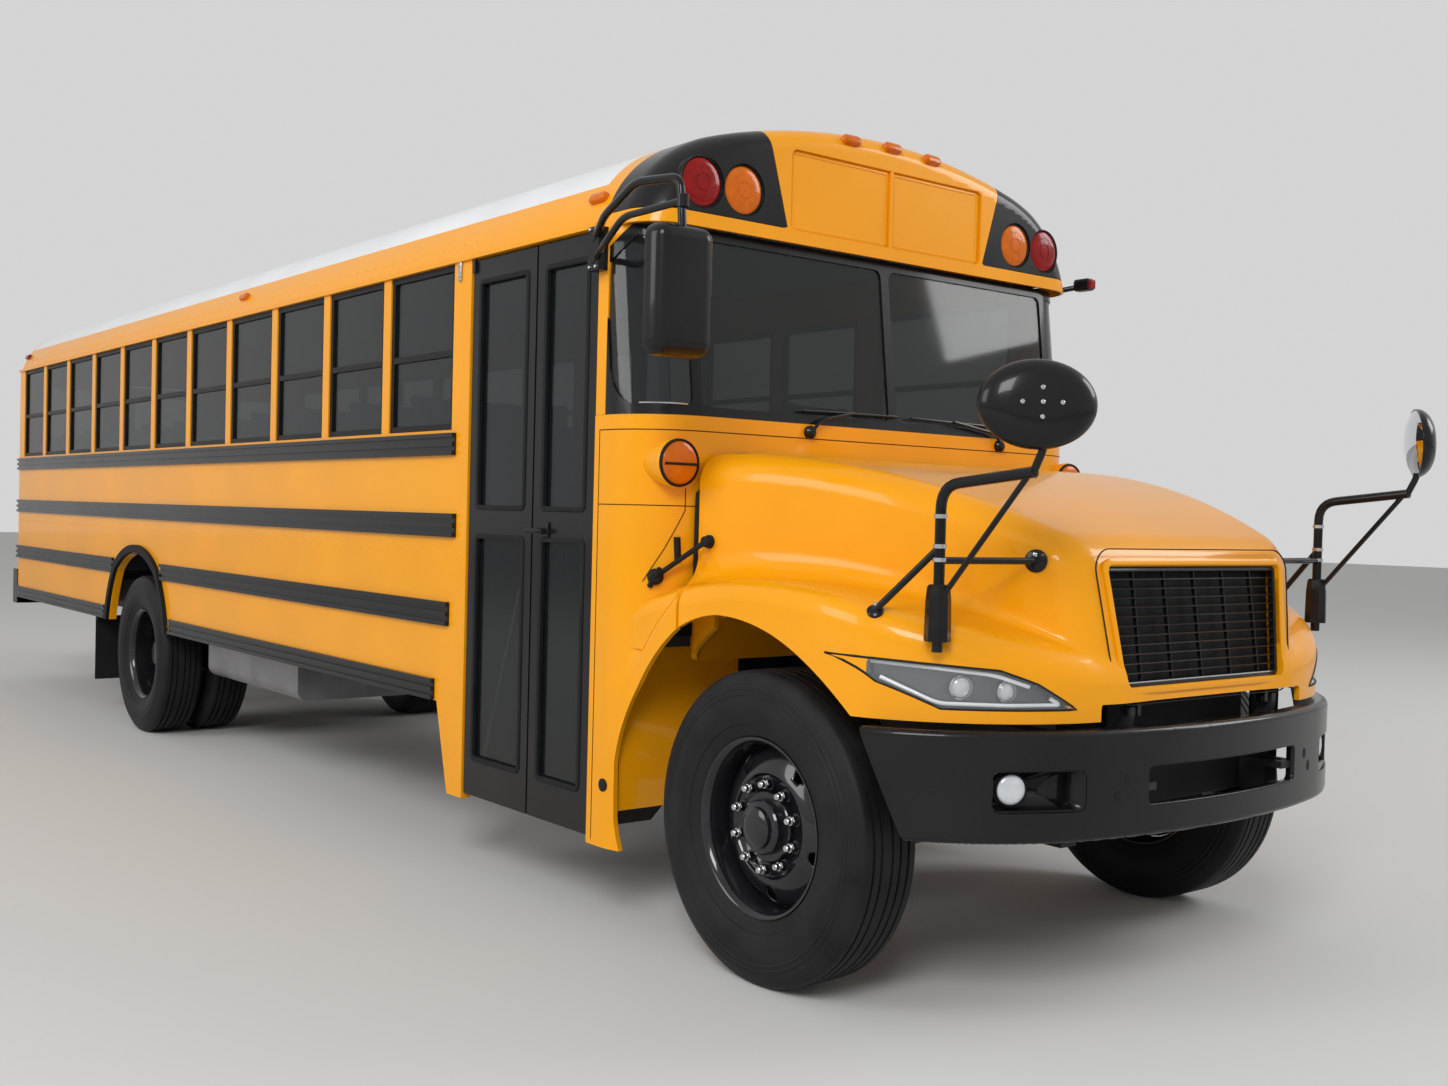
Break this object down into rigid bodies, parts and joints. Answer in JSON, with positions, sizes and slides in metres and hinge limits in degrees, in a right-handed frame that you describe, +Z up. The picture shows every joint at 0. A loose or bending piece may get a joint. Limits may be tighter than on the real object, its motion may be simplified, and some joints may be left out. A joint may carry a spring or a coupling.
{
  "type": "school bus",
  "caption": "Yellow conventional school bus with a tilting hood, two-leaf entrance door, rear emergency door, folding stop arm, rows of bench seats and dual rear wheels.",
  "frame": {"origin": "on the ground under the bus, on its centre line, halfway along its length", "axes": "+X forward, +Y to the driver's left, +Z up"},
  "size_m": [11.0509, 2.92, 3.09],
  "materials": {
    "body_paint": "glossy school-bus yellow enamel",
    "roof_paint": "white heat-reflecting roof paint over yellow sides",
    "black_paint": "satin black paint",
    "window_frame": "black anodised sash",
    "glass": "dark tinted safety glass",
    "rubber": "black moulded rubber",
    "tyre": "black tyre rubber",
    "wheel_paint": "gloss black steel wheel",
    "chassis_paint": "black chassis paint",
    "engine_iron": "painted cast iron",
    "tank_steel": "dull steel tank",
    "exhaust_steel": "heat-tinted steel pipe",
    "floor_rubber": "ribbed black floor covering",
    "seat_vinyl": "dark padded seat vinyl",
    "seat_steel": "black steel tube",
    "dash_plastic": "grained black plastic",
    "headlamp": "clear lamp lens over a bright reflector",
    "amber_lens": "amber lens",
    "red_lens": "red lens",
    "clear_lens": "clear lens",
    "stop_sign_red": "red reflective sheet with a white border"
  },
  "bodies": {
    "root": {"side_wall_right": "body_paint", "side_wall_left": "body_paint", "window_frames": "window_frame", "side_glass": "glass", "rub_rails": "black_paint", "wheel_arch_trims": "rubber", "roof": "roof_paint", "front_cap": "body_paint", "rear_wall": "body_paint", "cowl": "body_paint", "windshield_frame": "window_frame", "windshield_glass": "glass", "floor": "floor_rubber", "wheel_boxes": "floor_rubber", "floor_beams": "chassis_paint", "steps": "floor_rubber", "side_mirrors": "black_paint", "front_axle": "chassis_paint", "rear_axle": "chassis_paint", "driveshaft": "chassis_paint", "leaf_springs": "chassis_paint", "frame_rails": "chassis_paint", "front_bumper": "black_paint", "rear_bumper": "black_paint", "engine": "engine_iron", "fuel_tank": "tank_steel", "exhaust": "exhaust_steel", "seats": "seat_vinyl", "seat_frames": "seat_steel", "dash": "dash_plastic", "lamp_panels": "black_paint", "amber_lamps": "amber_lens", "red_lamps": "red_lens", "clear_lamps": "clear_lens", "mud_flaps": "rubber", "stop_arm_base": "black_paint"},
    "door_front": {"door_front": "black_paint", "door_front_glass": "glass"},
    "door_rear": {"door_rear": "black_paint", "door_rear_glass": "glass"},
    "emergency_door": {"emergency_door": "body_paint", "emergency_door_glass": "glass"},
    "hood": {"hood": "body_paint", "grille": "dash_plastic", "headlights": "headlamp", "cross_mirrors": "black_paint"},
    "stop_arm": {"stop_arm": "stop_sign_red"},
    "steering_wheel": {"steering_wheel": "dash_plastic"},
    "knuckle_left": {"knuckle_left": "chassis_paint"},
    "knuckle_right": {"knuckle_right": "chassis_paint"},
    "front_wheel_left": {"tyre_front_left": "tyre", "rim_front_left": "wheel_paint"},
    "front_wheel_right": {"tyre_front_right": "tyre", "rim_front_right": "wheel_paint"},
    "rear_wheels_left": {"tyres_rear_left": "tyre", "rims_rear_left": "wheel_paint"},
    "rear_wheels_right": {"tyres_rear_right": "tyre", "rims_rear_right": "wheel_paint"}
  },
  "joints": [
    {"name": "steer_left", "type": "hinge", "parent": "root", "child": "knuckle_left", "pos_m": [4.345, 0.88, 0.52], "axis": [0, 0, 1], "range_deg": [-35, 35]},
    {"name": "steer_right", "type": "hinge", "parent": "root", "child": "knuckle_right", "pos_m": [4.345, -0.88, 0.52], "axis": [0, 0, 1], "range_deg": [-35, 35]},
    {"name": "steering_wheel_turn", "type": "hinge", "parent": "root", "child": "steering_wheel", "pos_m": [3.215, 0.64, 1.85], "axis": [-0.4695, 0, 0.8829], "range_deg": [-560, 560]},
    {"name": "front_wheel_left_spin", "type": "hinge", "parent": "knuckle_left", "child": "front_wheel_left", "pos_m": [4.345, 1.031, 0.52], "axis": [0, 1, 0], "continuous": true},
    {"name": "front_wheel_right_spin", "type": "hinge", "parent": "knuckle_right", "child": "front_wheel_right", "pos_m": [4.345, -1.031, 0.52], "axis": [0, 1, 0], "continuous": true},
    {"name": "rear_wheels_left_spin", "type": "hinge", "parent": "root", "child": "rear_wheels_left", "pos_m": [-2.015, 0.9325, 0.52], "axis": [0, 1, 0], "continuous": true},
    {"name": "rear_wheels_right_spin", "type": "hinge", "parent": "root", "child": "rear_wheels_right", "pos_m": [-2.015, -0.9325, 0.52], "axis": [0, 1, 0], "continuous": true},
    {"name": "door_front_swing", "type": "hinge", "parent": "root", "child": "door_front", "pos_m": [3.424, -1.215, 1.46], "axis": [0, 0, 1], "range_deg": [0, 90]},
    {"name": "door_rear_swing", "type": "hinge", "parent": "root", "child": "door_rear", "pos_m": [2.501, -1.215, 1.46], "axis": [0, 0, 1], "range_deg": [-90, 0]},
    {"name": "emergency_door_swing", "type": "hinge", "parent": "root", "child": "emergency_door", "pos_m": [-5.469, -0.385, 1.82], "axis": [0, 0, 1], "range_deg": [0, 110]},
    {"name": "hood_tilt", "type": "hinge", "parent": "root", "child": "hood", "pos_m": [5.25, 0, 0.965], "axis": [0, 1, 0], "range_deg": [0, 72]},
    {"name": "stop_arm_swing", "type": "hinge", "parent": "root", "child": "stop_arm", "pos_m": [2.37, 1.257, 1.65], "axis": [0, 0, -1], "range_deg": [0, 90]}
  ],
  "couplings": [
    {"joint": "steer_right", "follows": "steer_left", "ratio": 1},
    {"joint": "steering_wheel_turn", "follows": "steer_left", "ratio": 16},
    {"joint": "door_rear_swing", "follows": "door_front_swing", "ratio": -1}
  ]
}
